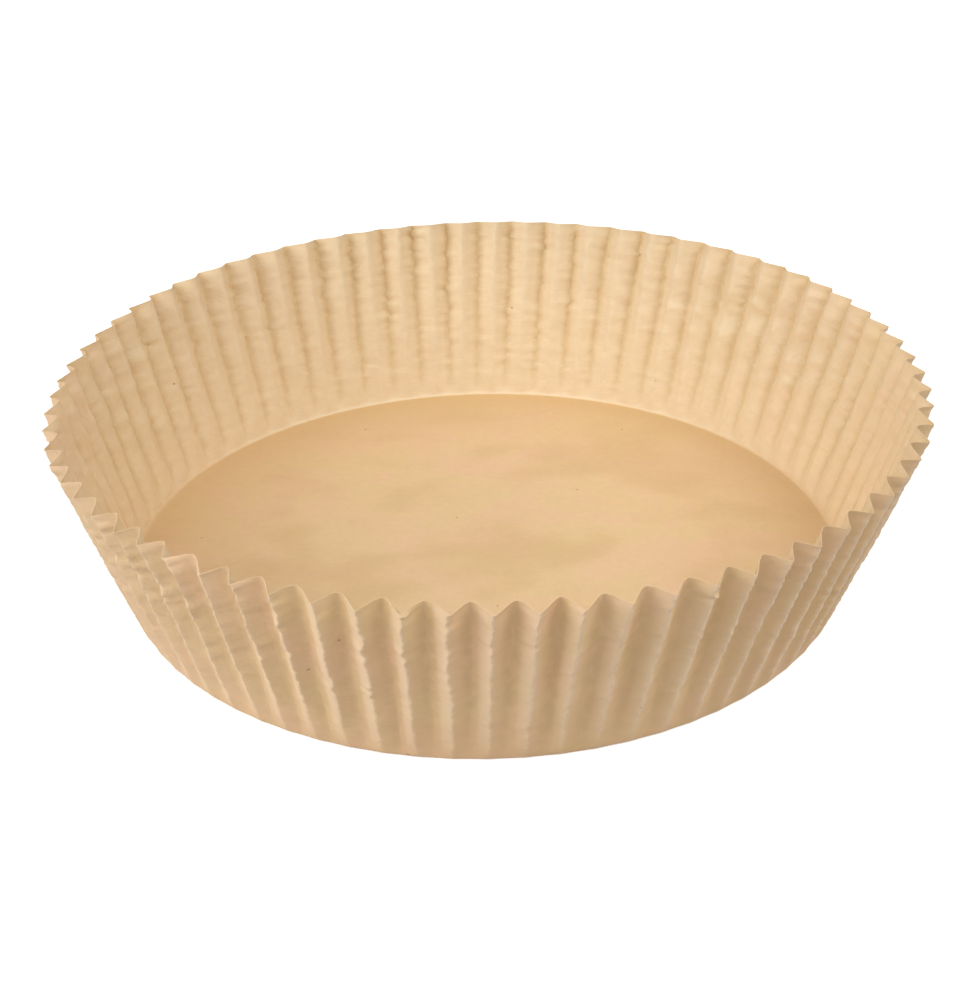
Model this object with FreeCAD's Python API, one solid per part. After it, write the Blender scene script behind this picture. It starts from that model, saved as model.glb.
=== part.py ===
import FreeCAD, Part
import os
from math import asin, atan2, cos, hypot, pi, sin, sqrt

# Round pleated liner for the basket of an air fryer, in millimetres.
#
# It is one disc of greaseproof paper, pressed into a shallow dish in a fluted die. The middle
# of the disc stays flat as the floor. The outer part is turned up through a pressed corner
# into a flared wall, and the paper that the smaller circle can't take goes into pleats.
# The paper doesn't stretch, so the depth of the pleats at each level follows from how much
# longer the disc is there than the circle it has to fit. The rim is the cut edge of the disc:
# outer and inner folds are equally long, so on the sloping wall the inner ones end higher.
#
# +Z is up. The origin is the centre of the floor's underside.

# Driving dimensions. The dish is measured on the underside of the paper, at mid-depth of the
# pleats.
FLOOR_RADIUS = 83.1      # flat floor, to where the corner starts
CORNER_RADIUS = 1.0      # pressed corner between floor and wall
RIM_RADIUS = 98.2        # centre line of the wall to the cut edge
RIM_HEIGHT = 45.0        # cut edge above the surface that the liner stands on
PLEATS = 72              # folds that point outwards, with as many between them that point in
PAPER = 0.1              # thickness of the paper, with its pressed grain

# How finely the section is divided
CORNER_BANDS = 2         # bands of panels round the corner
WALL_BANDS = 5           # bands of panels up the wall


def wall_flare():
    """Angle of the wall from upright, where it leaves the corner as a tangent."""
    run = RIM_RADIUS - FLOOR_RADIUS
    rise = RIM_HEIGHT - CORNER_RADIUS
    return atan2(run, rise) - asin(CORNER_RADIUS / hypot(run, rise))


class Level:
    """A circle of the dish's section: where it lies, and how far out it was on the flat disc."""

    def __init__(self, radius, height, turned, disc_radius):
        self.radius = radius
        self.height = height
        self.out = FreeCAD.Vector(sin(turned), 0, -cos(turned))
        self.stretch = disc_radius / radius

    def ring(self, lift):
        """Zigzag wire through every fold at this level, on the underside or lifted off it."""
        half_pitch = pi * self.radius / PLEATS
        half_depth = half_pitch * sqrt(max(self.stretch ** 2 - 1, 0)) / 2
        middle = FreeCAD.Vector(self.radius, 0, self.height)
        # Across a sloping panel, the same thickness takes a longer step along the wall's normal
        step = lift * self.stretch
        folds = []
        for number in range(2 * PLEATS):
            side = half_depth if number % 2 == 0 else -half_depth
            turn = FreeCAD.Rotation(FreeCAD.Vector(0, 0, 1), 180 * number / PLEATS)
            folds.append(turn.multVec(middle + self.out * (side - step)))
        return Part.makePolygon(folds + folds[:1])


def section_levels():
    """Levels from the edge of the floor, round the corner and up the wall to the rim."""
    flare = wall_flare()
    turned = pi / 2 - flare
    levels = []
    for band in range(CORNER_BANDS + 1):
        angle = turned * band / CORNER_BANDS
        radius = FLOOR_RADIUS + CORNER_RADIUS * sin(angle)
        height = CORNER_RADIUS * (1 - cos(angle))
        levels.append(Level(radius, height, angle, FLOOR_RADIUS + CORNER_RADIUS * angle))
    foot_radius = FLOOR_RADIUS + CORNER_RADIUS * sin(turned)
    foot_height = CORNER_RADIUS * (1 - cos(turned))
    slope = hypot(RIM_RADIUS - foot_radius, RIM_HEIGHT - foot_height)
    for band in range(1, WALL_BANDS + 1):
        # The pleats deepen fastest just above the corner, so the levels are closer there
        along = slope * (band / WALL_BANDS) ** 2
        radius = foot_radius + along * sin(flare)
        height = foot_height + along * cos(flare)
        levels.append(Level(radius, height, turned, FLOOR_RADIUS + CORNER_RADIUS * turned + along))
    return levels


def pleated_liner():
    """The sheet: an under skin and an upper skin a thickness apart, joined by the cut edge."""
    levels = section_levels()
    under = [level.ring(0) for level in levels]
    upper = [level.ring(PAPER) for level in levels]
    faces = [Part.Face(under[0]), Part.Face(upper[0])]
    faces += Part.makeLoft(under, False, True).Faces
    faces += Part.makeLoft(upper, False, True).Faces
    faces += Part.makeLoft([under[-1], upper[-1]], False, True).Faces
    shell = Part.makeShell(faces)
    shell.sewShape()
    return Part.makeSolid(shell)


os.makedirs("parts", exist_ok=True)
pleated_liner().exportStep("parts/liner.step")
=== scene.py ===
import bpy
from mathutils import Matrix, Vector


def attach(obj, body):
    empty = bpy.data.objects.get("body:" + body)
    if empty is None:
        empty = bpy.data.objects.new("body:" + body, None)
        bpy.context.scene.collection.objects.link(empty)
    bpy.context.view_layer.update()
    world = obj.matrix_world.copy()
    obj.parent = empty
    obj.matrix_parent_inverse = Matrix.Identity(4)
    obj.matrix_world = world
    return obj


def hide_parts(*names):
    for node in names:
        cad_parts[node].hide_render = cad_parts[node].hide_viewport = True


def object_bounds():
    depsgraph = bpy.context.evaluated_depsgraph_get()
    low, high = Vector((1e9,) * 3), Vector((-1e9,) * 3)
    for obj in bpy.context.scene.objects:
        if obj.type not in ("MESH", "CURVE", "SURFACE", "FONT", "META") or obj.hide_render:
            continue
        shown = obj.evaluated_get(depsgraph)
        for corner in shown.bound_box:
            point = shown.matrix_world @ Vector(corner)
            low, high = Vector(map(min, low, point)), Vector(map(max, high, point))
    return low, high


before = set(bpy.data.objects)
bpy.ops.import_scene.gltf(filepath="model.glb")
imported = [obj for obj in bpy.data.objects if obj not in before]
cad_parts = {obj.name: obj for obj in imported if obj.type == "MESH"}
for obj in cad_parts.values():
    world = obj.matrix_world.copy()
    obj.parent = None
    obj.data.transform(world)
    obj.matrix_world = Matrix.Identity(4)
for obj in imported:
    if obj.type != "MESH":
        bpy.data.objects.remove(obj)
CAD_LOW, CAD_HIGH = [tuple(corner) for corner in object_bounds()]

from math import asin, atan2, cos, hypot, pi, radians, sin

import bmesh
import bpy
import numpy as np
from mathutils import Matrix, Vector

bl_info = {
    "name": "Pleated Paper Liner",
    "version": (1, 0, 0),
    "blender": (4, 5, 0),
    "location": "View3D > Sidebar > Liner",
    "description": "Presses a disc of baking paper into a pleated liner and lights it on a plain stage",
    "category": "Add Mesh",
}

MM = 0.001
RIM_OUTSIDE = CAD_HIGH[0]            # over the outer folds
RIM_TOP = CAD_HIGH[2]                # tips of the inner folds
FOLDS_PAST_RIM = 1.8 * MM            # how far those stand out past the pleats' mid-depth
TIPS_PAST_RIM = 0.6 * MM             # and how far the tips rise above it
TABLE_WIDTH = 1.9
TABLE_GAP = 0.05 * MM                # between the table and the liner
TABLE_TONE = (0.55, 0.55, 0.55, 1)   # the table as the light sees it
WHITE = (1, 1, 1, 1)
LAMP_DISTANCE = 1.3
LAMP_WIDTH = 0.8
CLIP_START = 10 * MM                 # nearest thing that the camera sees


# ---------------------------------------------------------------- sizes and colours to change

class LinerSheet(bpy.types.PropertyGroup):
    """Sizes of the pressed sheet."""
    pleats: bpy.props.IntProperty(
        name="Pleats", description="Folds that point outwards", default=72, min=8)
    floor_radius: bpy.props.FloatProperty(
        name="Floor radius", description="Flat floor, to where the pressed corner starts",
        default=83.1 * MM, unit="LENGTH", precision=4)
    corner_radius: bpy.props.FloatProperty(
        name="Corner radius", description="Pressed corner between the floor and the wall",
        default=1 * MM, unit="LENGTH", precision=4)
    rim_radius: bpy.props.FloatProperty(
        name="Rim radius", description="Cut edge, at mid-depth of the pleats",
        default=RIM_OUTSIDE - FOLDS_PAST_RIM, unit="LENGTH", precision=4)
    rim_height: bpy.props.FloatProperty(
        name="Rim height", description="Cut edge above the table, at mid-depth of the pleats",
        default=RIM_TOP - TIPS_PAST_RIM, unit="LENGTH", precision=4)
    paper: bpy.props.FloatProperty(
        name="Paper", description="Thickness of the sheet",
        default=0.1 * MM, unit="LENGTH", precision=5)
    outer_rounding: bpy.props.FloatProperty(
        name="Outer fold rounding",
        description="How round the outward folds are, as a share of a panel",
        default=0.06, subtype="FACTOR", min=0, max=0.5)
    inner_rounding: bpy.props.FloatProperty(
        name="Inner fold rounding",
        description="How round the inward folds are, as a share of a panel",
        default=0.30, subtype="FACTOR", min=0, max=0.5)
    lean: bpy.props.FloatProperty(
        name="Lean", description="How far the floor sits to the left of the rim's middle",
        default=1.3 * MM, unit="LENGTH", precision=4)
    unevenness: bpy.props.FloatProperty(
        name="Unevenness", description="How far folds and panels stray from a perfect pressing",
        default=1.0, min=0, soft_max=2)
    seed: bpy.props.IntProperty(
        name="Seed", description="Which of many like pressings this one is", default=7)


class PaperColours(bpy.types.PropertyGroup):
    """Colours of unbleached baking paper, and of the shade, sheen and light painted on it."""
    straw: bpy.props.FloatVectorProperty(
        name="Straw", description="The paper where it is yellowest",
        default=(0.83, 0.582, 0.304), subtype="COLOR", size=3)
    blush: bpy.props.FloatVectorProperty(
        name="Blush", description="The paper where it is pinkest",
        default=(0.855, 0.565, 0.33), subtype="COLOR", size=3)
    inner_tint: bpy.props.FloatVectorProperty(
        name="Inner tint", description="How the inner face differs in tone from the outer one",
        default=(0.955, 0.98, 1.0), subtype="COLOR", size=3)
    # Darker tone for the paper's clouds, and also for painted shade: at the floor's edge, in the
    # valleys and panels outside, and in the crumples
    toast_and_shade: bpy.props.FloatVectorProperty(
        name="Toast and shade", description="Darker clouds on the floor, and the floor near the wall",
        default=(0.66, 0.437, 0.208), subtype="COLOR", size=3)
    # Painted sheen: a paler, less saturated tone on the inside of the wall, strongest at the back, that
    # stands in for the sheen of the light
    painted_sheen: bpy.props.FloatVectorProperty(
        name="Painted sheen",
        description="Inside of the wall, where the press has rubbed the paper paler",
        default=(0.81, 0.66, 0.44), subtype="COLOR", size=3)
    # Painted shade in the grooves inside the wall, where the folds keep the light out
    groove_shade: bpy.props.FloatVectorProperty(
        name="Hollow", description="Grooves inside the wall, which the rubbing doesn't reach",
        default=(0.67, 0.485, 0.255), subtype="COLOR", size=3)
    # Pale tone of wear on the outward folds; the same tone also paints the light and highlights on the
    # folds and the paler front-left
    ridge: bpy.props.FloatVectorProperty(
        name="Ridge", description="Outward folds, where the pressing bruises the fibres pale",
        default=(0.90, 0.70, 0.50), subtype="COLOR", size=3)
    speck: bpy.props.FloatVectorProperty(
        name="Speck", description="Scraps of bark in the pulp",
        default=(0.40, 0.19, 0.09), subtype="COLOR", size=3)


class StageLook(bpy.types.PropertyGroup):
    """Table, lamps and camera."""
    key_level: bpy.props.FloatProperty(
        name="Key level", description="Brightness of the low lamp at the left",
        default=0.52, min=0)
    front_level: bpy.props.FloatProperty(
        name="Front level", description="Brightness of the high lamp at the front",
        default=0.27, min=0)
    side_level: bpy.props.FloatProperty(
        name="Side level", description="Brightness of the high lamp at the right",
        default=0.56, min=0)
    sky_level: bpy.props.FloatProperty(
        name="Sky level", description="Brightness of the even light all round",
        default=0.135, min=0)
    table_glow: bpy.props.FloatProperty(
        name="Table glow",
        description="Brightness that the camera sees on the table beside its lit white",
        default=0.5, min=0)
    key_turn: bpy.props.FloatProperty(
        name="Key turn", description="Where the low lamp stands, to the left of the camera",
        default=radians(65), subtype="ANGLE")
    key_lift: bpy.props.FloatProperty(
        name="Key lift", description="How high the low lamp stands above the table",
        default=radians(30), subtype="ANGLE")
    front_turn: bpy.props.FloatProperty(
        name="Front turn", description="Where the front lamp stands, to the left of the camera",
        default=radians(30), subtype="ANGLE")
    side_turn: bpy.props.FloatProperty(
        name="Side turn", description="Where the right lamp stands, to the left of the camera",
        default=radians(-60), subtype="ANGLE")
    high_lift: bpy.props.FloatProperty(
        name="High lift", description="How high the front and right lamps stand above the table",
        default=radians(50), subtype="ANGLE")
    view_lift: bpy.props.FloatProperty(
        name="View lift", description="How far the camera looks down",
        default=radians(28.98), subtype="ANGLE")
    view_turn: bpy.props.FloatProperty(
        name="View turn", description="How far the camera stands round from the front",
        default=radians(-0.18), subtype="ANGLE")
    view_roll: bpy.props.FloatProperty(
        name="View roll", description="Tilt of the camera about its own axis",
        default=radians(-1.07), subtype="ANGLE")
    view_distance: bpy.props.FloatProperty(
        name="View distance", description="From the camera to the middle of the liner",
        default=0.4593, unit="LENGTH")
    view_raise: bpy.props.FloatProperty(
        name="View raise",
        description="How far above the middle of the floor the camera aims, in its own frame",
        default=0.01363, unit="LENGTH")
    lens: bpy.props.FloatProperty(
        name="Lens", description="Focal length of the camera, in millimetres", default=70.36)


# ---------------------------------------------------------------- modelling helpers

NEAR = 0.01 * MM         # how near a vertex has to lie to count as on a ring


def deselect_all():
    if bpy.context.object and bpy.context.object.mode != "OBJECT":
        bpy.ops.object.mode_set(mode="OBJECT")
    bpy.ops.object.select_all(action="DESELECT")


def select_ring(sheet, radius, height, also=False):
    """Selects, in edit mode, the ring of vertices at that radius and height: only that, or
    also what is selected already."""
    mesh = bmesh.from_edit_mesh(sheet.data)
    for vertex in mesh.verts:
        x, y, z = vertex.co
        on_ring = abs(hypot(x, y) - radius) < NEAR and abs(z - height) < NEAR
        vertex.select = on_ring or (also and vertex.select)
    mesh.select_flush_mode()
    bmesh.update_edit_mesh(sheet.data)


def extrude_ring(rise, scale, height):
    """Extrudes the selected ring upwards by rise, and scales it about the axis."""
    bpy.ops.mesh.extrude_region_move(TRANSFORM_OT_translate={"value": (0, 0, rise)})
    bpy.ops.transform.resize(value=(scale, scale, 1), center_override=(0, 0, height))


# ---------------------------------------------------------------- the pressed sheet

WALL_ROWS = 60           # rows of faces from the corner to the rim
CORNER_ROWS = 3          # rows of faces round the pressed corner
PANEL_COLUMNS = 5        # columns of faces on each panel, from fold to fold
FOLD_CROWDING = 0.12     # how far those columns crowd towards the folds, in panels
FLOOR_RINGS = ((0.98, 144), (0.55, 48), (0.20, 12))   # share of the floor radius, vertices
RING_WIDTH = 4 * MM      # about how far apart the rings of the floor lie
FLAT = 0.001 * MM        # how near the floor, or its edge, counts as on it
AREA_SLACK = 0.01        # share by which the floor's area may miss that of its circle
UV_MARGIN = 1.02         # width of the paper's pattern over that of the flat disc
SHARP = radians(60)      # sharpest edge that is still shaded smooth

# How the pleats start, as climbs along the paper from the edge of the floor
PLEAT_START = 1.6 * MM   # where they have their full depth
EVEN_FOOT = 1 * MM       # how far up they are perfectly even
FADE_IN = 5 * MM         # and over how much more the unevenness grows
MARKED_CLIMB = 18 * MM   # where the pleats' tones are at their full strength
MARKED_FOOT = 0.5        # share of that strength at the foot

# How far the pleats drift round the dish from an even pitch, in pitches: the mean, then the
# waves round the dish, each with its cosine and its sine
MEAN_DRIFT = 0.154
DRIFT_WAVES = ((1, -0.316, 0.105), (2, 0.072, -0.102))

# How far the paper strays from a perfect pressing, at an unevenness of 1
FOLD_SHIFT = 0.16 * MM           # sideways, each fold as a whole
FOLD_WANDER = 0.12 * MM          # sideways, along a fold
OUTER_RAGGED = 0.21 * MM         # sideways, in little nibbles along the outward folds
INNER_RAGGED = 0.05 * MM         # and along the inward ones
RAGGED_FOOT = 0.35               # share of the nibbles that the foot of the wall has
DEPTH_SPREAD = 0.05              # share by which a fold is deeper or shallower
OUTER_NICK = 0.16 * MM           # dents in the line of the outward folds
INNER_NICK = 0.06 * MM           # and in that of the inward ones
STAND_WANDER = 0.05 * MM         # outwards and inwards, along a fold
BELLY = 0.11 * MM                # swelling of the panels between the folds
CREASE = 0.010 * MM              # creases across the panels
OUT_OF_ROUND = 0.16 * MM         # bending of the whole wall
BENDS = range(2, 8)              # in so many waves round the dish
BEND_GROWTH = 1.5                # power of the climb with which that grows towards the rim
FLOOR_SWELL = 0.10 * MM          # lift of the floor off the table
FLOOR_SWELL_WIDTH = 30 * MM
# Two waves of that: radians over such a width to the right and to the back, and the phase
FLOOR_WAVES = ((1.7, 0.6, 0), (-0.8, 1.3, 0.7))
FLOOR_FLAT_EDGE = 12 * MM        # how far in from its edge the floor still lies lower

# What is added to that where the wall was pushed in, and where it is tired
CRUMPLE_WANDER = 2.5 * MM        # up and down, from fold to fold
CRUSHED_SHOVE = 0.45 * MM        # sideways, one way above the dent and the other way below
SHOVE_TURNS_IN = 1 / 7           # over this share of the patch's half height
CRUSHED_PINCH = 0.5              # share of a fold's depth that the dent takes
PINCH_HEIGHT = 1 / 6             # over this share of the patch's half height
CRUSHED_WANDER = 0.25 * MM
CRUSHED_NICK = 0.12 * MM
CRUSHED_CREASE = 0.10 * MM
TIRED_PINCH = 0.3
TIRED_CREASE = 0.055 * MM

# How the painted shade at the floor's edge gives way to the painted sheen of the wall
BACK_BLUR = 0.3 * MM             # over this climb at the back
SIDE_BLUR = 3 * MM               # and over this one at the sides and the front
SHADE_START = 0.55               # share of the floor radius where the floor's painted shade starts
SHADE_FULL = 0.98                # and where it is darkest
FLOOR_SHADE = (0.58, 0.42)       # strength of that, and how much more there is at the back
WALL_SHEEN = (0.48, 0.42)        # the same for the painted sheen that makes the wall paler


class Patch:
    """A soft-edged patch of the wall: its middle and half its width, round the dish and up."""

    def __init__(self, turn, half_turn, climb, half_climb):
        self.turn = turn
        self.half_turn = half_turn
        self.climb = climb
        self.half_climb = half_climb

    def above(self, climb, wander=0):
        """How far above the middle of the patch each place is, in half heights."""
        return (climb - (self.climb + wander)) / self.half_climb

    def cover(self, turn, climb, wander=0):
        """How much each place belongs to the patch, from 0 to 1."""
        sideways = (turn - self.turn) / self.half_turn
        return np.exp(-sideways ** 2 - self.above(climb, wander) ** 2)


# Where the wall was pushed in, and where it is creased by handling
CRUMPLE = Patch(radians(224), radians(11), 35 * MM, 7 * MM)
TIRED = (Patch(radians(35), radians(30), 30 * MM, 18 * MM),
         Patch(radians(172), radians(30), 30 * MM, 18 * MM))
# Where the outside of the wall is painted paler at the front-left, where painted light falls on the
# left sides of its folds at the front, where its folds at the front-right get a painted highlight with
# painted shade on the panels between, and where painted shade darkens its crumpled paper
MARKS = {
    "rubbed": Patch(radians(205), radians(35), 25 * MM, 60 * MM),
    "lit_fold_sides": Patch(radians(248), radians(48), 20 * MM, 60 * MM),
    "lit_folds_shaded_panels": Patch(radians(325), radians(45), 8 * MM, 48 * MM),
    "crumpled": Patch(CRUMPLE.turn, radians(15), CRUMPLE.climb - 4 * MM, 13 * MM),
}


class Level:
    """A circle of the section: where it lies, which way its underside faces, and how far
    from the centre it was on the flat disc."""

    def __init__(self, radius, height, turned, disc_radius):
        self.radius = radius
        self.height = height
        self.out = (sin(turned), -cos(turned))
        self.disc_radius = disc_radius


def section_levels(size):
    """Levels from the edge of the floor, round the corner and up the wall to the rim."""
    run = size.rim_radius - size.floor_radius
    rise = size.rim_height - size.corner_radius
    flare = atan2(run, rise) - asin(size.corner_radius / hypot(run, rise))
    turned = pi / 2 - flare
    levels = []
    for row in range(CORNER_ROWS + 1):
        angle = turned * row / CORNER_ROWS
        levels.append(Level(size.floor_radius + size.corner_radius * sin(angle),
                            size.corner_radius * (1 - cos(angle)), angle,
                            size.floor_radius + size.corner_radius * angle))
    foot = levels[-1]
    slope = hypot(size.rim_radius - foot.radius, size.rim_height - foot.height)
    for row in range(1, WALL_ROWS + 1):
        along = slope * row / WALL_ROWS
        levels.append(Level(foot.radius + along * sin(flare), foot.height + along * cos(flare),
                            turned, foot.disc_radius + along))
    return levels


def plain_dish(size, levels):
    """The dish before its pleats: the floor, then its edge extruded up the wall. The floor
    comes first, as rings bridged to an edge that already has a wall on it come out crossed."""
    deselect_all()
    columns = 2 * size.pleats * PANEL_COLUMNS
    bpy.ops.mesh.primitive_circle_add(vertices=columns, radius=size.floor_radius)
    sheet = bpy.context.object
    sheet.name = "liner_sheet"
    bpy.ops.object.mode_set(mode="EDIT")
    bpy.ops.mesh.select_mode(type="VERT")
    fill_floor(sheet, size.floor_radius)
    select_ring(sheet, size.floor_radius, 0)
    for lower, upper in zip(levels, levels[1:]):
        extrude_ring(upper.height - lower.height, upper.radius / lower.radius, upper.height)
    bpy.ops.mesh.select_all(action="SELECT")
    bpy.ops.mesh.normals_make_consistent(inside=False)
    bpy.ops.object.mode_set(mode="OBJECT")
    check_floor(sheet, size.floor_radius)
    return sheet


def fill_floor(sheet, floor_radius):
    """Fills the floor, in edit mode, with rings that have fewer and fewer vertices."""
    edge = floor_radius
    for share, fewer in FLOOR_RINGS:
        inner = floor_radius * share
        # Rings of the present count, down to where the next count takes over
        steps = max(0, round((edge - inner) / RING_WIDTH) - 1)
        for step in range(steps):
            select_ring(sheet, edge, 0)
            smaller = edge - (edge - inner) / (steps + 1 - step)
            extrude_ring(0, smaller / edge, 0)
            edge = smaller
        bpy.ops.mesh.select_all(action="DESELECT")
        bpy.ops.mesh.primitive_circle_add(vertices=fewer, radius=inner)
        select_ring(sheet, edge, 0, also=True)
        bpy.ops.mesh.bridge_edge_loops()
        edge = inner
    select_ring(sheet, edge, 0)
    bpy.ops.mesh.edge_face_add()
    bpy.ops.mesh.poke()


def check_floor(sheet, radius):
    """Raises if the rings of the floor were bridged across each other, or face upwards."""
    floor = [face for face in sheet.data.polygons if abs(face.center.z) < FLAT]
    area = sum(face.area for face in floor)
    if abs(area / (pi * radius ** 2) - 1) > AREA_SLACK:
        raise RuntimeError("the bridged rings of the floor overlap")
    if any(face.normal.z > 0 for face in floor):
        raise RuntimeError("the floor's faces point up, so the paper would grow downwards")


class Chance:
    """Seeded unevenness of the paper, for each fold and each row of the wall."""

    def __init__(self, seed, folds, rows):
        self.draw = np.random.default_rng(seed)
        self.folds = folds
        self.rows = rows

    def along_folds(self, reach):
        """A value for each fold and row, of unit spread, that changes over reach rows."""
        # Rows past either end, so that the rows at the ends are smoothed like the others
        margin = int(4 * reach) + 2
        raw = self.draw.standard_normal((self.folds, self.rows + 2 * margin))
        offsets = np.arange(-margin, margin + 1)
        weights = np.exp(-0.5 * (offsets / reach) ** 2)
        smooth = np.array([np.convolve(line, weights, mode="same") for line in raw])
        return smooth[:, margin:margin + self.rows] / np.sqrt((weights ** 2).sum())

    def each_fold(self):
        """A value for each fold, of unit spread."""
        return self.draw.standard_normal((self.folds, 1))

    def phase(self):
        """Where a wave round the dish starts."""
        return self.draw.uniform(0, 2 * pi)


class Wall:
    """The levels of the wall as arrays, and how its pleats grow from the floor to the rim."""

    def __init__(self, size, levels):
        self.folds = 2 * size.pleats
        self.columns = self.folds * PANEL_COLUMNS
        self.pitch = 2 * pi / size.pleats
        self.radius = np.array([level.radius for level in levels])
        self.height = np.array([level.height for level in levels])
        self.disc = np.array([level.disc_radius for level in levels])
        self.out = np.array([level.out for level in levels])
        self.climb = self.disc - self.disc[0]
        self.lift = self.climb / self.climb[-1]
        # Paper doesn't stretch: what the disc has to spare at each level goes into the pleats
        spare = np.sqrt(np.maximum((self.disc / self.radius) ** 2 - 1, 0))
        started = np.clip(self.climb / PLEAT_START, 0, 1)
        self.half_depth = spare * self.radius * self.pitch / 4 * started
        self.fade = np.clip((self.climb - EVEN_FOOT) / FADE_IN, 0, 1)
        self.number = np.arange(self.folds)[:, None]
        self.is_outer = self.number % 2 == 0


class Plain:
    """Where the vertices of the plain dish lie, and the column and row of each on the wall."""

    def __init__(self, sheet, size, wall):
        mesh = sheet.data
        place = np.empty(len(mesh.vertices) * 3)
        mesh.vertices.foreach_get("co", place)
        self.place = place.reshape(-1, 3)
        x, y, z = self.place.T
        self.reach = np.hypot(x, y)
        self.on_wall = self.reach > size.floor_radius - FLAT
        self.around = np.arctan2(y, x) % (2 * pi)
        self.column = np.rint(self.around / (2 * pi) * wall.columns).astype(int) % wall.columns
        self.row = np.abs(z[:, None] - wall.height[None, :]).argmin(axis=1)


def rounded_panel(across, outer, inner):
    """Depth across a panel, from +1 at the outer fold to -1 at the inner one, with both
    folds rounded off."""
    rest = 1 - across

    def depth(from_outer, from_inner):
        return (from_outer - np.sqrt(from_outer ** 2 + outer ** 2)
                + np.sqrt(from_inner ** 2 + inner ** 2))

    top, bottom = depth(0, 1), depth(1, 0)
    return 2 * (depth(across, rest) - bottom) / (top - bottom) - 1


def crowded(columns):
    """Places across the panels, in panels, moved towards the folds."""
    return columns - FOLD_CROWDING * np.sin(2 * pi * columns)


def crumple(turn, climb, wander):
    """How crushed each fold is at each level, how far it is shoved sideways, and how flat it
    is pinched, where the liner was once pushed in."""
    crush = CRUMPLE.cover(turn, climb, wander)
    above = CRUMPLE.above(climb, wander)
    shove = CRUSHED_SHOVE * crush * np.tanh(above / SHOVE_TURNS_IN)
    pinch = CRUSHED_PINCH * crush * np.exp(-(above / PINCH_HEIGHT) ** 2)
    return crush, shove, pinch


def fold_lines(wall, chance, rough):
    """Where each fold runs round the dish, as an angle for each level, and how crushed,
    pinched and tired it is there."""
    turn = wall.number * wall.pitch / 2
    drift = MEAN_DRIFT
    for waves, along, beside in DRIFT_WAVES:
        drift = drift + along * np.cos(waves * turn) + beside * np.sin(waves * turn)
    turn = turn + wall.pitch * drift
    stray = FOLD_SHIFT * chance.each_fold()
    stray = stray + FOLD_WANDER * chance.along_folds(reach=6)
    ragged = np.where(wall.is_outer, OUTER_RAGGED, INNER_RAGGED)
    ragged = ragged * (RAGGED_FOOT + (1 - RAGGED_FOOT) * wall.lift)
    nibble = chance.along_folds(reach=0.5)
    stray = stray + ragged * nibble * np.sqrt(np.abs(nibble))
    crush, shove, pinch = crumple(turn, wall.climb, CRUMPLE_WANDER * chance.each_fold())
    tired = sum(patch.cover(turn, wall.climb) for patch in TIRED)
    pinch = pinch + TIRED_PINCH * tired * np.abs(chance.along_folds(reach=3))
    stray = stray + shove + crush * CRUSHED_WANDER * chance.along_folds(reach=1.2)
    return turn + rough * wall.fade * stray / wall.radius, crush, pinch, tired


def fold_heights(wall, chance, rough, crush, pinch):
    """How far each fold stands out from the middle of the wall, at each level."""
    depth = wall.half_depth * (1 + rough * DEPTH_SPREAD * chance.each_fold())
    nick = np.where(wall.is_outer, OUTER_NICK, INNER_NICK) + CRUSHED_NICK * crush
    nick = nick * np.abs(chance.along_folds(reach=0.6))
    outward = np.where(wall.is_outer, 1.0, -1.0)
    stand = outward * (depth * (1 - rough * pinch) - rough * wall.fade * nick)
    return stand + rough * wall.fade * STAND_WANDER * chance.along_folds(reach=3)


def press_pleats(sheet, size, levels):
    """Moves each vertex of the wall along the wall's normal and round the axis to where its
    fold or panel lies. Every fold wanders on a line of its own, which no operator draws."""
    wall = Wall(size, levels)
    rough = size.unevenness
    chance = Chance(size.seed, wall.folds, len(levels))
    turn, crush, pinch, tired = fold_lines(wall, chance, rough)
    stand = fold_heights(wall, chance, rough, crush, pinch)

    # Columns between one fold and the next
    share = crowded(np.arange(PANEL_COLUMNS) / PANEL_COLUMNS)[None, :, None]
    following = np.roll(turn, -1, axis=0)
    following[-1] += 2 * pi
    angle = turn[:, None, :] * (1 - share) + following[:, None, :] * share
    onward = np.roll(stand, -1, axis=0)
    middle = ((stand + onward) / 2)[:, None, :]
    swing = (np.abs(stand - onward) / 2)[:, None, :]
    from_outer = rounded_panel(share, size.outer_rounding, size.inner_rounding)
    from_inner = rounded_panel(1 - share, size.outer_rounding, size.inner_rounding)
    offset = middle + swing * np.where(wall.is_outer[:, None, :], from_outer, from_inner)

    # Panels that belly and crease a little
    belly = rough * wall.fade * BELLY * chance.along_folds(reach=5)
    crease = CREASE + CRUSHED_CREASE * crush + TIRED_CREASE * tired
    crease = rough * wall.fade * crease * chance.along_folds(reach=1.6)
    offset = offset + (belly + crease)[:, None, :] * np.sin(pi * share)

    # The whole wall is a little out of round
    angle = angle.reshape(wall.columns, -1)
    offset = offset.reshape(wall.columns, -1)
    for waves in BENDS:
        bend = np.cos(waves * angle + chance.phase())
        offset = offset + rough * OUT_OF_ROUND * wall.lift ** BEND_GROWTH * bend

    away = wall.radius + wall.out[:, 0] * offset
    place = np.stack([away * np.cos(angle), away * np.sin(angle),
                      wall.height + wall.out[:, 1] * offset], axis=-1)
    plain = Plain(sheet, size, wall)
    pressed = plain.place.copy()
    pressed[plain.on_wall] = place[plain.column[plain.on_wall], plain.row[plain.on_wall]]
    pressed[~plain.on_wall, 2] = floor_lift(plain, size)[~plain.on_wall]
    # The floor isn't quite under the middle of the rim
    pressed[:, 0] -= rough * size.lean * (1 - plain.place[:, 2] / wall.height[-1])
    sheet.data.vertices.foreach_set("co", pressed.ravel())
    sheet.data.update()
    lay_flat(sheet.data, plain, wall)
    mark_paper(sheet.data, plain, wall, size.floor_radius)


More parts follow.
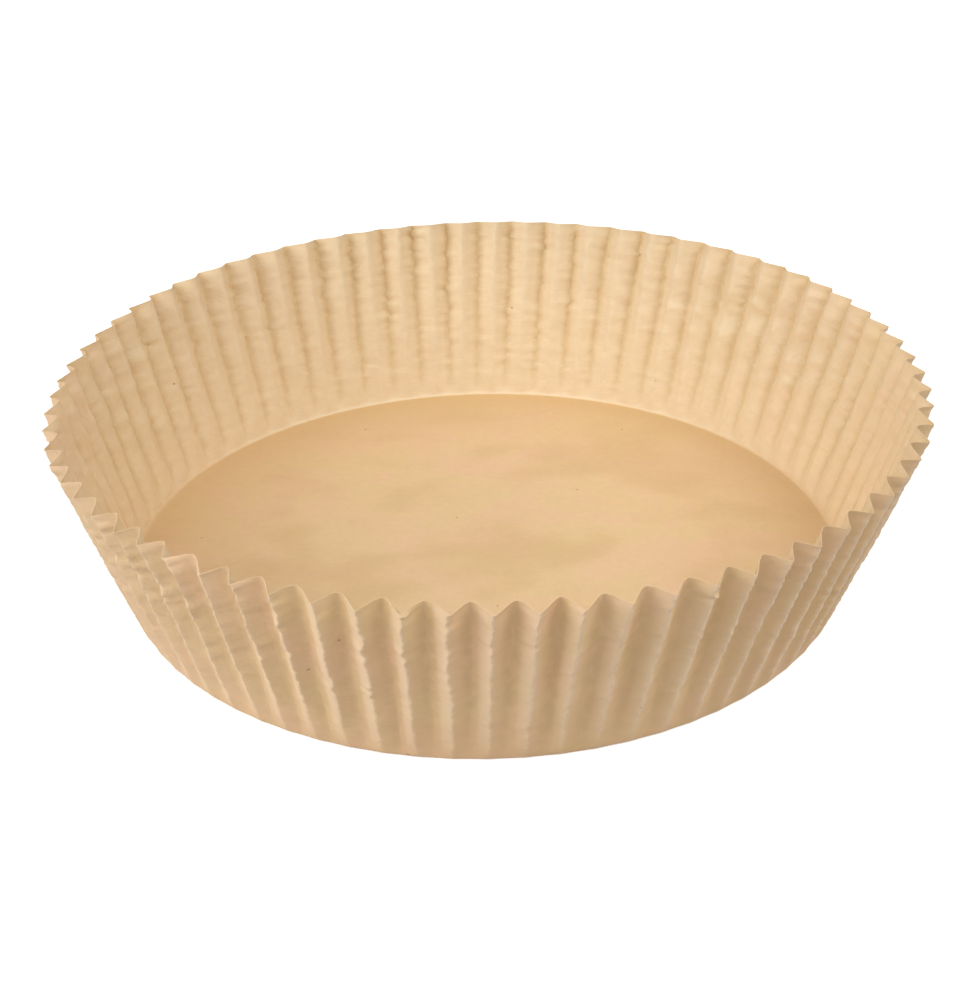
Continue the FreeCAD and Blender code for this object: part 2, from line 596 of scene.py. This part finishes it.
def floor_lift(plain, size):
    """How far each vertex lifts off the table: the floor lies flat at its edge, and swells a
    hair here and there."""
    x, y = plain.place[:, 0] / FLOOR_SWELL_WIDTH, plain.place[:, 1] / FLOOR_SWELL_WIDTH
    ease = np.clip((size.floor_radius - plain.reach) / FLOOR_FLAT_EDGE, 0, 1)
    first, second = [right * x + back * y + phase for right, back, phase in FLOOR_WAVES]
    return size.unevenness * FLOOR_SWELL * ease * (1 + np.sin(first) * np.cos(second))


def pattern_width(disc_radius):
    """Width of the square that the paper's pattern fills, round the flat disc."""
    return 2 * disc_radius * UV_MARGIN


def lay_flat(mesh, plain, wall):
    """Gives each vertex, as its UV, where it lay on the flat disc."""
    lay = np.where(plain.on_wall, wall.disc[plain.row], plain.reach)
    spot = np.stack([lay * np.cos(plain.around), lay * np.sin(plain.around)], axis=-1)
    spot = 0.5 + spot / pattern_width(wall.disc[-1])
    corners = np.empty(len(mesh.loops), dtype=np.int32)
    mesh.loops.foreach_get("vertex_index", corners)
    layer = mesh.uv_layers.active or mesh.uv_layers.new(name="flat_sheet")
    layer.name = "flat_sheet"
    layer.data.foreach_set("uv", spot[corners].ravel())


def mark_paper(mesh, plain, wall, floor_radius):
    """Marks on the sheet where the paper's tone changes, and where painted shade, sheen and light go,
    for its material to read.
    """
    # 0 on the outward fold and 1 on the inward one, and above 0 at the left of an outward one
    position = crowded(plain.column / PANEL_COLUMNS)
    across = np.abs((position + 1) % 2 - 1)
    marked = MARKED_FOOT + (1 - MARKED_FOOT) * np.clip(wall.climb / MARKED_CLIMB, 0, 1)
    pleated = (wall.fade * marked)[plain.row]
    marks = {"across": np.where(plain.on_wall, across, 1),
             "left_side": -np.sin(pi * position),
             "pleated": np.where(plain.on_wall, pleated, 0)}

    # Painted shade darkens the floor towards its edge and the foot of the wall, and painted sheen makes
    # the wall paler, both most of all at the back
    climb = wall.climb[plain.row]
    backwards = np.sin(plain.around)
    at_back = np.maximum(backwards, 0)
    blur = BACK_BLUR + (SIDE_BLUR - BACK_BLUR) * (1 - at_back)
    on_paler = np.clip(climb / blur, 0, 1)
    darker = np.clip((plain.reach / floor_radius - SHADE_START) / (SHADE_FULL - SHADE_START), 0, 1)
    darker = np.where(plain.on_wall, 1 - on_paler, darker ** 2)
    # Painted shade at the floor's edge and the foot of the wall
    marks["floor_edge_shade"] = darker * (FLOOR_SHADE[0] + FLOOR_SHADE[1] * backwards)
    paler = np.where(plain.on_wall, on_paler, 0)
    # Painted sheen on the wall, strongest at the back
    marks["wall"] = paler * (WALL_SHEEN[0] + WALL_SHEEN[1] * at_back)

    for name, patch in MARKS.items():
        marks[name] = np.where(plain.on_wall, patch.cover(plain.around, climb), 0)
    for name, values in marks.items():
        mesh.attributes.new(name, "FLOAT", "POINT").data.foreach_set("value", values)


def thicken(sheet, size):
    """Gives the sheet its thickness, inwards from the underside that was modelled."""
    wall = sheet.modifiers.new("thickness", "SOLIDIFY")
    wall.thickness = size.paper
    wall.offset = -1
    wall.use_even_offset = False
    deselect_all()
    sheet.select_set(True)
    bpy.context.view_layer.objects.active = sheet
    skin = len(sheet.data.vertices)
    bpy.ops.object.modifier_apply(modifier=wall.name)
    outside = np.zeros(len(sheet.data.vertices))
    outside[:skin] = 1
    sheet.data.attributes.new("outside", "FLOAT", "POINT").data.foreach_set("value", outside)
    bpy.ops.object.shade_smooth_by_angle(angle=SHARP)


# ---------------------------------------------------------------- materials

class Value:
    """A number that varies over the surface. Arithmetic on it adds the Math nodes."""

    def __init__(self, finish, socket):
        self.finish = finish
        self.socket = socket

    def math(self, operation, *terms):
        return self.finish.node("ShaderNodeMath", {"operation": operation}, dict(enumerate(terms)))

    def __add__(self, other):
        return self.math("ADD", self, other)

    def __radd__(self, other):
        return self.math("ADD", other, self)

    def __sub__(self, other):
        return self.math("SUBTRACT", self, other)

    def __rsub__(self, other):
        return self.math("SUBTRACT", other, self)

    def __mul__(self, other):
        return self.math("MULTIPLY", self, other)

    def __rmul__(self, other):
        return self.math("MULTIPLY", other, self)

    def ramp(self, low, high):
        """0 below low, 1 above high, and smooth between."""
        return self.finish.node(
            "ShaderNodeMapRange", {"interpolation_type": "SMOOTHSTEP"},
            {"Value": self, "From Min": low, "From Max": high})


class Finish:
    """The nodes of a material or a world, and the one way that nodes are added to it."""

    def __init__(self, owner, output):
        self.owner = owner
        owner.use_nodes = True
        self.tree = owner.node_tree
        self.tree.nodes.clear()
        self.output = output

    def node(self, kind, settings=None, inputs=None, output=0):
        made = self.tree.nodes.new(kind)
        for key, value in (settings or {}).items():
            setattr(made, key, value)
        for key, value in (inputs or {}).items():
            if isinstance(value, Value):
                self.tree.links.new(value.socket, made.inputs[key])
            else:
                made.inputs[key].default_value = value
        return None if output is None else Value(self, made.outputs[output])

    def blend(self, factor, first, second, kind="MIX"):
        """Two colours mixed by a factor."""
        return self.node("ShaderNodeMix", {"data_type": "RGBA", "blend_type": kind},
                         {0: factor, 6: first, 7: second}, output=2)

    def noise(self, place, scale, detail=2.0, roughness=0.5, distortion=0.0):
        return self.node("ShaderNodeTexNoise", {"noise_dimensions": "2D"},
                         {"Vector": place, "Scale": scale, "Detail": detail,
                          "Roughness": roughness, "Distortion": distortion})

    def show(self, surface):
        """Links the last node, and returns the finished material or world."""
        self.node(self.output, {}, {"Surface": surface}, output=None)
        return self.owner


def new_material(name):
    return Finish(bpy.data.materials.new(name), "ShaderNodeOutputMaterial")


def rgba(colour):
    return (colour[0], colour[1], colour[2], 1.0)


# How fully each tone covers the paper under it, from 0 to 1. Some of these tones are painted shade,
# sheen or light: the shade at the floor's edge, in the grooves, valleys, panels and crumples, the sheen
# inside the wall, and the light and highlights on the folds
COVER = {"clouds": 0.5, "floor_edge_shade": 0.95, "painted_sheen": 0.95, "grooves": 0.95, "valleys": 0.40,
         "rubbed": 0.32, "lit_fold_sides": 0.52, "panels": 0.52, "lit_folds_shaded_panels": 0.95, "fibres": 0.10,
         "worn_and_highlit": 0.8, "crumple_shade": 0.35, "bark": 0.8}
# Noises over the flat sheet, with so many features to a millimetre as the scale says
NOISES = {
    "blush": {"scale": 0.045, "detail": 3.0, "roughness": 0.6, "distortion": 0.8},
    "clouds": {"scale": 0.03, "roughness": 0.6},
    "valleys": {"scale": 0.25},
    "frayed": {"scale": 0.9},
    "fibres": {"scale": 1.0, "detail": 1.0},
    "crumple_shade": {"scale": 0.42},
    "formation": {"scale": 0.45, "roughness": 0.6},
    "grain": {"scale": 2.2, "detail": 1.0, "roughness": 0.6},
    "wrinkles": {"scale": 0.35, "roughness": 0.55, "distortion": 0.6},
}
# Where each tone starts and where it is full, on its noise
ON_NOISE = {"blush": (0.34, 0.66), "clouds": (0.44, 0.70), "valleys": (0.25, 0.65),
            "fibres": (0.58, 0.72), "worn_and_highlit": (0.36, 0.56), "crumple_shade": (0.52, 0.64)}
# The same across a panel, from 0 on the outward fold to 1 on the inward one. Valleys and
# panels start and grow full there, and the other tones start to fade and are gone
ON_PANEL = {"grooves": (-0.10, 0.50), "valleys": (0.40, 0.75), "lit_fold_sides": (0.45, 0.75),
            "panels": (0.15, 0.45), "lit_folds_shaded_panels": (0.02, 0.26), "worn_and_highlit": (0.0, 0.11)}
ON_LEFT_SIDE = (0.0, 0.35)       # the same for the painted light on a fold's left side, on how far to the left it lies
ON_CRUMPLE = (0.2, 0.8)          # and for the painted shade in the crumples, on how crumpled the wall is there
CLOUD_STRETCH = (0.85, 1.2, 1)
FIBRE_STRETCH = (0.25, 3.2, 1)
FIBRE_TURNS = (0.5, 2.1)         # the two ways that the fibres run, in radians
FIBRE_DARKNESS = 0.72            # tone of a fibre over that of the paper
BARK_SCALE = 0.022               # scraps of bark to a millimetre, along a line
BARK_SIZES = (0.003, 0.0075)     # a scrap's core and its rim, over the distance between scraps
RAGGED = 0.3                     # how raggedly a tone on the pleats ends, in panels
GROOVE_RAGGED = 0.4              # share of that inside, where the grooves end more evenly
FORMATION = (0.955, 0.09)        # darkest brightness of the pulp, and how much more there can be
GRAIN = 0.25                     # height of the fine grain over that of the wrinkles
RELIEF = 0.25 * MM               # height of the wrinkles
RELIEF_STRENGTH = 0.35           # how much of that height shows
ROUGHNESS = (0.52, 0.16)         # least roughness of the paper, and how much more there can be
SHEEN = 0.5                      # strength of the paper's faint reflection


class Paper:
    """The paper's material while it is made: its pattern's place in millimetres, the marks on
    the sheet, and the colour so far."""

    def __init__(self, colours, disc_radius):
        self.colours = colours
        self.finish = new_material("unbleached_baking_paper")
        spot = self.finish.node("ShaderNodeUVMap", {"uv_map": "flat_sheet"})
        self.spot = self.finish.node("ShaderNodeVectorMath", {"operation": "SCALE"},
                                     {0: spot, "Scale": pattern_width(disc_radius) / MM})
        self.marks = {}
        for name in ("outside", "wall", "floor_edge_shade", "across", "left_side", "pleated", *MARKS):
            self.marks[name] = self.finish.node(
                "ShaderNodeAttribute", {"attribute_name": name}, output=2)
        self.outside = self.marks["outside"]
        self.inside = 1 - self.outside
        self.frayed = self.noise("frayed")
        self.ragged = RAGGED * (self.frayed - 0.5)
        self.colour = None

    def noise(self, name, place=None):
        """One of the noises over the flat sheet, drawn out if it is given another place."""
        return self.finish.noise(place or self.spot, **NOISES[name])

    def cover(self, amount, tone):
        """Lays a tone over the colour, as much as amount says."""
        self.colour = self.finish.blend(amount, self.colour, rgba(tone))


def cloudy_pulp(paper):
    """Clouds of tone, in patches a few millimetres to a few centimetres across, and painted shade on
    the floor towards its edge and at the foot of the wall.
    """
    finish, colours, marks = paper.finish, paper.colours, paper.marks
    drawn = finish.node("ShaderNodeMapping", {}, {"Vector": paper.spot, "Scale": CLOUD_STRETCH})
    blush = paper.noise("blush", drawn).ramp(*ON_NOISE["blush"])
    paper.colour = finish.blend(blush, rgba(colours.straw), rgba(colours.blush))
    paper.colour = finish.blend(paper.inside, paper.colour, rgba(colours.inner_tint),
                                kind="MULTIPLY")
    cloud = paper.noise("clouds", drawn).ramp(*ON_NOISE["clouds"])
    paper.cover(COVER["clouds"] * cloud * (1 - marks["wall"]), colours.toast_and_shade)
    # Painted shade towards the floor's edge and at the foot of the wall
    paper.cover(COVER["floor_edge_shade"] * marks["floor_edge_shade"], colours.toast_and_shade)


def sheen_inside_shaded_grooves(paper):
    """Inside of the wall: painted sheen makes it paler, and painted shade darkens its grooves."""
    colours, marks = paper.colours, paper.marks
    # Painted sheen on the inside of the wall, strongest at the back
    paper.cover(COVER["painted_sheen"] * marks["wall"] * paper.inside, colours.painted_sheen)
    # Painted shade along the grooves inside the wall
    across = marks["across"] + GROOVE_RAGGED * paper.ragged
    groove = 1 - across.ramp(*ON_PANEL["grooves"])
    paper.cover(COVER["grooves"] * groove * marks["pleated"] * paper.inside, colours.groove_shade)


def shaded_and_lit_outside(paper):
    """Outside of the wall: painted shade in the valleys, a paler tone over the front-left, painted
    light on the left sides of the folds at the front, and at the front-right a painted highlight on the
    folds with painted shade on the panels between.
    """
    colours, marks, outside = paper.colours, paper.marks, paper.outside
    across = marks["across"] + paper.ragged
    # Painted shade in the valleys between the outward folds
    valley = across.ramp(*ON_PANEL["valleys"])
    valley = valley * paper.noise("valleys").ramp(*ON_NOISE["valleys"])
    paper.cover(COVER["valleys"] * valley * marks["pleated"] * outside, colours.toast_and_shade)
    # The outside is painted paler over its front-left
    paper.cover(COVER["rubbed"] * marks["rubbed"] * outside, colours.ridge)
    # Painted light on the left sides of the outward folds, which face the low lamp at the left
    left = marks["left_side"].ramp(*ON_LEFT_SIDE)
    lit_side = left * (1 - across.ramp(*ON_PANEL["lit_fold_sides"])) * marks["lit_fold_sides"]
    paper.cover(COVER["lit_fold_sides"] * lit_side * marks["pleated"] * outside, colours.ridge)
    # Painted shade on the panels between the outward folds at the front-right
    panel = across.ramp(*ON_PANEL["panels"]) * marks["lit_folds_shaded_panels"]
    paper.cover(COVER["panels"] * panel * marks["pleated"] * outside, colours.toast_and_shade)
    # Painted highlight along the outward folds at the front-right
    fold_highlight = (1 - across.ramp(*ON_PANEL["lit_folds_shaded_panels"])) * marks["lit_folds_shaded_panels"]
    paper.cover(COVER["lit_folds_shaded_panels"] * fold_highlight * marks["pleated"] * outside, colours.ridge)


def crossed_fibres(paper):
    """Fine fibres, as noise drawn out along two crossed directions."""
    fibres = None
    for turn in FIBRE_TURNS:
        drawn = paper.finish.node("ShaderNodeMapping", {}, {
            "Vector": paper.spot, "Rotation": (0, 0, turn), "Scale": FIBRE_STRETCH})
        threads = paper.noise("fibres", drawn).ramp(*ON_NOISE["fibres"])
        fibres = threads if fibres is None else fibres + threads
    paper.cover(COVER["fibres"] * fibres, [FIBRE_DARKNESS * part for part in paper.colours.straw])


def worn_and_highlit_ridges(paper):
    """The outward folds, pale here and there with wear and a painted highlight, and painted shade in
    blotches where the wall is crumpled.
    """
    marks = paper.marks
    ridge = 1 - marks["across"].ramp(*ON_PANEL["worn_and_highlit"])
    # Wear along the outward folds, partly a painted highlight
    worn_and_highlit = ridge * paper.frayed.ramp(*ON_NOISE["worn_and_highlit"])
    paper.cover(COVER["worn_and_highlit"] * worn_and_highlit * marks["pleated"] * paper.outside, paper.colours.ridge)
    # Painted shade in blotches over the crumpled wall
    crumple_shade = paper.noise("crumple_shade").ramp(*ON_NOISE["crumple_shade"])
    crumple_shade = crumple_shade * marks["crumpled"].ramp(*ON_CRUMPLE)
    paper.cover(COVER["crumple_shade"] * crumple_shade * paper.outside, paper.colours.toast_and_shade)


def bark_scraps(paper):
    """A few dark scraps of bark in the pulp."""
    cells = paper.finish.node("ShaderNodeTexVoronoi", {"voronoi_dimensions": "2D"},
                              {"Vector": paper.spot, "Scale": BARK_SCALE, "Randomness": 1.0})
    scrap = 1 - cells.ramp(*BARK_SIZES)
    paper.cover(COVER["bark"] * scrap, paper.colours.speck)


def baking_paper(colours, disc_radius):
    """Unbleached greaseproof paper: cloudy straw and blush tones, fine crossed fibres, a few scraps of
    bark, and folds pale with wear on the outside, with painted shade at the floor's edge, in the
    grooves, valleys, panels and crumples, painted sheen inside the wall, and painted light and
    highlights on the folds."""
    paper = Paper(colours, disc_radius)
    finish = paper.finish
    cloudy_pulp(paper)
    sheen_inside_shaded_grooves(paper)
    shaded_and_lit_outside(paper)
    formation = paper.noise("formation")
    shade = FORMATION[0] + FORMATION[1] * formation
    paper.colour = finish.node("ShaderNodeVectorMath", {"operation": "SCALE"},
                               {0: paper.colour, "Scale": shade})
    crossed_fibres(paper)
    worn_and_highlit_ridges(paper)
    bark_scraps(paper)

    grain = paper.noise("grain")
    wrinkles = paper.noise("wrinkles")
    bump = finish.node("ShaderNodeBump", {}, {
        "Strength": RELIEF_STRENGTH, "Distance": RELIEF, "Height": GRAIN * grain + wrinkles})
    return finish.show(finish.node("ShaderNodeBsdfPrincipled", {}, {
        "Base Color": paper.colour,
        "Roughness": ROUGHNESS[0] + ROUGHNESS[1] * formation,
        "Specular IOR Level": SHEEN,
        "Normal": bump,
    }))


def seen_directly(finish):
    """1 for rays from the camera, or by way of a shiny or clear surface, and 0 for the light
    that falls on the liner."""
    camera, glossy, clear = [
        finish.node("ShaderNodeLightPath", {}, {}, output=kind)
        for kind in ("Is Camera Ray", "Is Glossy Ray", "Is Transmission Ray")]
    seen = camera + glossy + clear
    return seen.math("MINIMUM", seen, 1.0)


def table_white(glow):
    """White table top: the camera sees it bright, and still sees the liner's shadow on it."""
    finish = new_material("white_table")
    matt = finish.node("ShaderNodeBsdfDiffuse", {}, {"Color": TABLE_TONE})
    seen = finish.node("ShaderNodeBsdfDiffuse", {}, {"Color": WHITE})
    bright = finish.node("ShaderNodeEmission", {}, {"Color": WHITE, "Strength": glow})
    lifted = finish.node("ShaderNodeAddShader", {}, {0: seen, 1: bright})
    return finish.show(finish.node("ShaderNodeMixShader", {}, {
        0: seen_directly(finish), 1: matt, 2: lifted}))


def even_light(level):
    """A world that lights everything evenly, and that the camera sees as white."""
    finish = Finish(bpy.data.worlds.new("even_light"), "ShaderNodeOutputWorld")
    even = finish.node("ShaderNodeBackground", {}, {"Color": WHITE, "Strength": level})
    white = finish.node("ShaderNodeBackground", {}, {"Color": WHITE, "Strength": 1.0})
    return finish.show(finish.node("ShaderNodeMixShader", {}, {
        0: seen_directly(finish), 1: even, 2: white}))


# ---------------------------------------------------------------- operators

class LINER_OT_press_sheet(bpy.types.Operator):
    """Presses one disc of paper into the pleated liner"""
    bl_idname = "liner.press_sheet"
    bl_label = "Press the sheet"

    def execute(self, context):
        size = context.scene.liner_sheet
        levels = section_levels(size)
        sheet = plain_dish(size, levels)
        press_pleats(sheet, size, levels)
        thicken(sheet, size)
        paper = baking_paper(context.scene.liner_colours, levels[-1].disc_radius)
        sheet.data.materials.clear()
        sheet.data.materials.append(paper)
        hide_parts("liner")
        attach(sheet, "root")
        return {"FINISHED"}


def aim(thing, target):
    """Turns a lamp so that it shines at a point."""
    thing.rotation_euler = (Vector(target) - thing.location).to_track_quat("-Z", "Y").to_euler()


def from_front(turn, lift):
    """The way from the liner to a place that far round to the right of the front, and up."""
    return Vector((sin(turn) * cos(lift), -cos(turn) * cos(lift), sin(lift)))


def add_table(glow):
    """The plain white table that the liner stands on."""
    deselect_all()
    bpy.ops.mesh.primitive_plane_add(size=TABLE_WIDTH, location=(0, 0, -TABLE_GAP))
    table = bpy.context.object
    table.name = "table"
    table.data.materials.append(table_white(glow))


def add_lamp(name, turn, lift, level):
    """A square soft lamp, turned to the left of the front. A level of 1 lights a surface that
    faces it as brightly as its colour is written."""
    deselect_all()
    bpy.ops.object.light_add(type="AREA", location=from_front(-turn, lift) * LAMP_DISTANCE)
    lamp = bpy.context.object
    lamp.name = name
    lamp.data.shape = "SQUARE"
    lamp.data.size = LAMP_WIDTH
    lamp.data.energy = level * (pi * LAMP_DISTANCE) ** 2
    aim(lamp, (0, 0, RIM_TOP / 2))


def add_camera(look):
    """The camera that the scene is seen through."""
    deselect_all()
    turn, lift = look.view_turn, look.view_lift
    around = Matrix.Rotation(turn, 3, "Z")
    upright = around @ Vector((0, sin(lift), cos(lift)))
    facing = (around @ Matrix.Rotation(pi / 2 - lift, 3, "X")
              @ Matrix.Rotation(look.view_roll, 3, "Z"))
    place = from_front(turn, lift) * look.view_distance + upright * look.view_raise
    bpy.ops.object.camera_add(location=place)
    camera = bpy.context.object
    camera.name = "camera"
    camera.rotation_euler = facing.to_euler()
    camera.data.lens = look.lens
    camera.data.clip_start = CLIP_START
    bpy.context.scene.camera = camera


class LINER_OT_set_stage(bpy.types.Operator):
    """Adds the white table, the soft lamps and the camera"""
    bl_idname = "liner.set_stage"
    bl_label = "Set the stage"

    def execute(self, context):
        look = context.scene.liner_stage
        add_table(look.table_glow)
        add_lamp("key_lamp", look.key_turn, look.key_lift, look.key_level)
        add_lamp("front_lamp", look.front_turn, look.high_lift, look.front_level)
        add_lamp("side_lamp", look.side_turn, look.high_lift, look.side_level)
        context.scene.world = even_light(look.sky_level)
        add_camera(look)
        context.scene.view_settings.view_transform = "Standard"
        return {"FINISHED"}


class LINER_PT_panel(bpy.types.Panel):
    """Lists the steps that make the liner, with their sizes and colours"""
    bl_label = "Pleated liner"
    bl_space_type = "VIEW_3D"
    bl_region_type = "UI"
    bl_category = "Liner"

    def draw(self, context):
        layout = self.layout
        for name in ("liner_sheet", "liner_colours", "liner_stage"):
            group = getattr(context.scene, name)
            box = layout.box()
            for key in group.__annotations__:
                box.prop(group, key)
        layout.operator("liner.press_sheet")
        layout.operator("liner.set_stage")


CLASSES = (LinerSheet, PaperColours, StageLook, LINER_OT_press_sheet, LINER_OT_set_stage,
           LINER_PT_panel)


def register():
    for kind in CLASSES:
        bpy.utils.register_class(kind)
    bpy.types.Scene.liner_sheet = bpy.props.PointerProperty(type=LinerSheet)
    bpy.types.Scene.liner_colours = bpy.props.PointerProperty(type=PaperColours)
    bpy.types.Scene.liner_stage = bpy.props.PointerProperty(type=StageLook)


def unregister():
    for name in ("liner_stage", "liner_colours", "liner_sheet"):
        delattr(bpy.types.Scene, name)
    for kind in reversed(CLASSES):
        bpy.utils.unregister_class(kind)


def main():
    register()
    bpy.ops.liner.press_sheet()
    bpy.ops.liner.set_stage()


if __name__ == "__main__":
    main()
